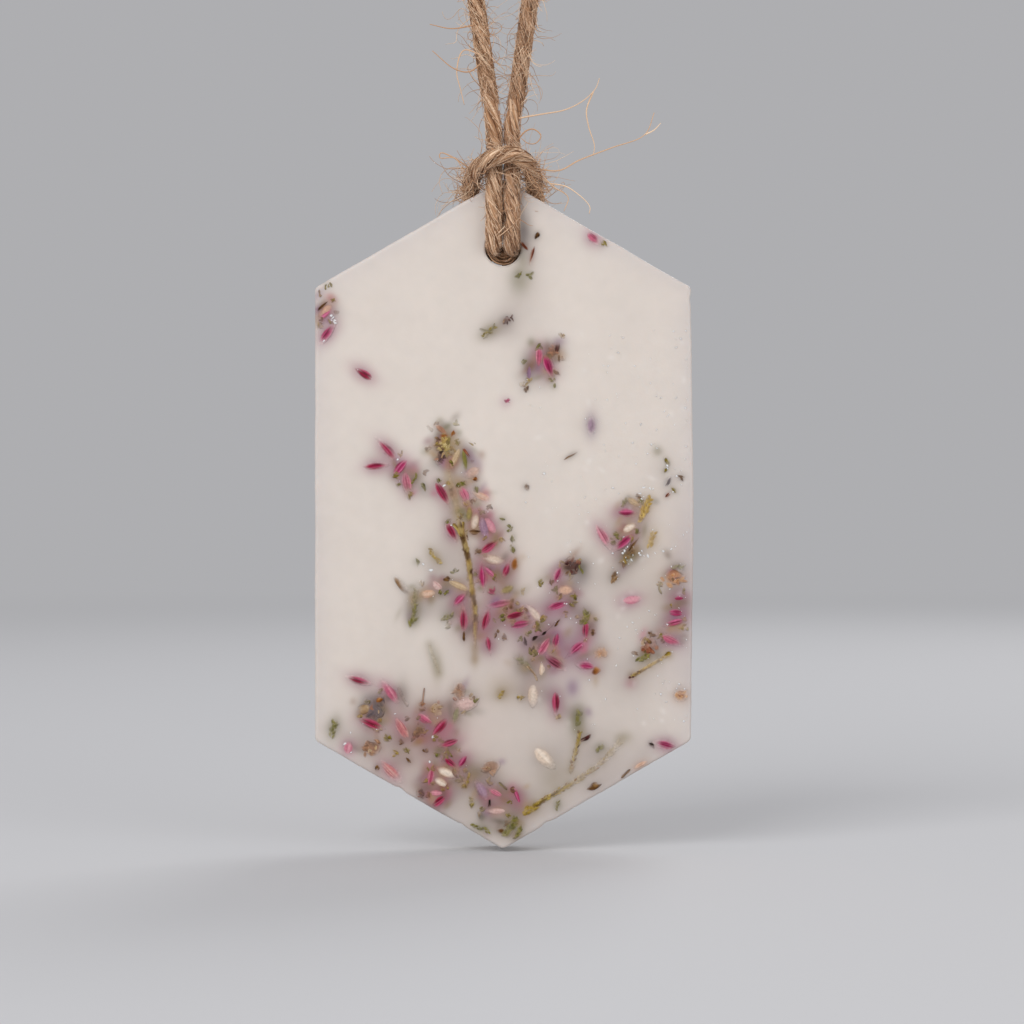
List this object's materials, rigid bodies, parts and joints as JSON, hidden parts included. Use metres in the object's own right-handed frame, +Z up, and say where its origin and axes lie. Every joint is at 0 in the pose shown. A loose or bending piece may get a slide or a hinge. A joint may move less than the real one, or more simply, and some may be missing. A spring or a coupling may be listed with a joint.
{
  "type": "scented wax sachet",
  "caption": "Hexagonal scented wax tablet set with dried heather, hung on a jute twine loop by a lark's head hitch through its hole.",
  "frame": {"origin": "inside of the hanging loop's top, under the knot, where a hook or rail carries the sachet", "axes": "+Z up along the hanging loop, -Y out of the front face with the heather, +X to the right as seen from the front"},
  "size_m": [0.055, 0.0168, 0.151],
  "materials": {
    "wax": "smooth satin cast wax",
    "jute": "hairy twisted natural jute",
    "bud_crimson": "dry petal",
    "bud_pale": "dry petal",
    "floret_dried": "dry petal",
    "leaf_green": "dry leaf",
    "stem_straw": "dry stem"
  },
  "bodies": {
    "loop_top": {"top_knot": "jute", "left_arc": "jute", "right_arc": "jute", "left_tail": "jute", "right_tail": "jute"},
    "loop_legs": {"left_leg": "jute", "right_leg": "jute"},
    "lark_head": {"hitch": "jute"},
    "tablet": {"wax_tablet": "wax", "heather_bud_01": "bud_crimson", "heather_bud_02": "bud_crimson", "heather_bud_03": "bud_crimson", "heather_bud_04": "bud_crimson", "heather_bud_05": "bud_crimson", "heather_bud_06": "bud_crimson", "heather_bud_07": "bud_crimson", "heather_bud_08": "bud_crimson", "heather_bud_09": "bud_crimson", "heather_bud_10": "bud_crimson", "heather_bud_11": "bud_crimson", "heather_bud_12": "bud_crimson", "heather_bud_13": "bud_crimson", "heather_bud_14": "bud_crimson", "heather_bud_15": "bud_crimson", "heather_bud_16": "bud_crimson", "heather_bud_17": "bud_crimson", "heather_bud_18": "bud_crimson", "heather_bud_19": "bud_crimson", "heather_bud_20": "bud_crimson", "heather_bud_21": "bud_crimson", "heather_bud_22": "bud_crimson", "heather_bud_23": "bud_crimson", "heather_bud_24": "bud_crimson", "heather_bud_25": "bud_crimson", "heather_bud_26": "bud_crimson", "heather_bud_27": "bud_crimson", "heather_bud_28": "bud_crimson", "heather_bud_29": "bud_crimson", "heather_bud_30": "bud_crimson", "pale_bud_01": "bud_pale", "pale_bud_02": "bud_pale", "pale_bud_03": "bud_pale", "pale_bud_04": "bud_pale", "pale_bud_05": "bud_pale", "pale_bud_06": "bud_pale", "dried_floret_01": "floret_dried", "dried_floret_02": "floret_dried", "dried_floret_03": "floret_dried", "dried_floret_04": "floret_dried", "leaf_01": "leaf_green", "leaf_02": "leaf_green", "leaf_03": "leaf_green", "leaf_04": "leaf_green", "leaf_05": "leaf_green", "leaf_06": "leaf_green", "main_stem": "stem_straw", "lower_stem": "stem_straw", "right_twig": "stem_straw", "mustard_twig": "stem_straw", "olive_twig": "stem_straw"}
  },
  "joints": [
    {"name": "loop_twist", "type": "hinge", "parent": "loop_top", "child": "loop_legs", "pos_m": [0, 0, -0.0047], "axis": [0, 0, 1], "range_deg": [-180, 180], "stiffness_Nm_per_rad": 0.0001},
    {"name": "loop_fold", "type": "hinge", "parent": "loop_legs", "child": "lark_head", "pos_m": [0, 0, -0.03053], "axis": [1, 0, 0], "range_deg": [-90, 90]},
    {"name": "tablet_rock", "type": "hinge", "parent": "lark_head", "child": "tablet", "pos_m": [0, 0, -0.04828], "axis": [0, 1, 0], "range_deg": [-10, 10]}
  ]
}
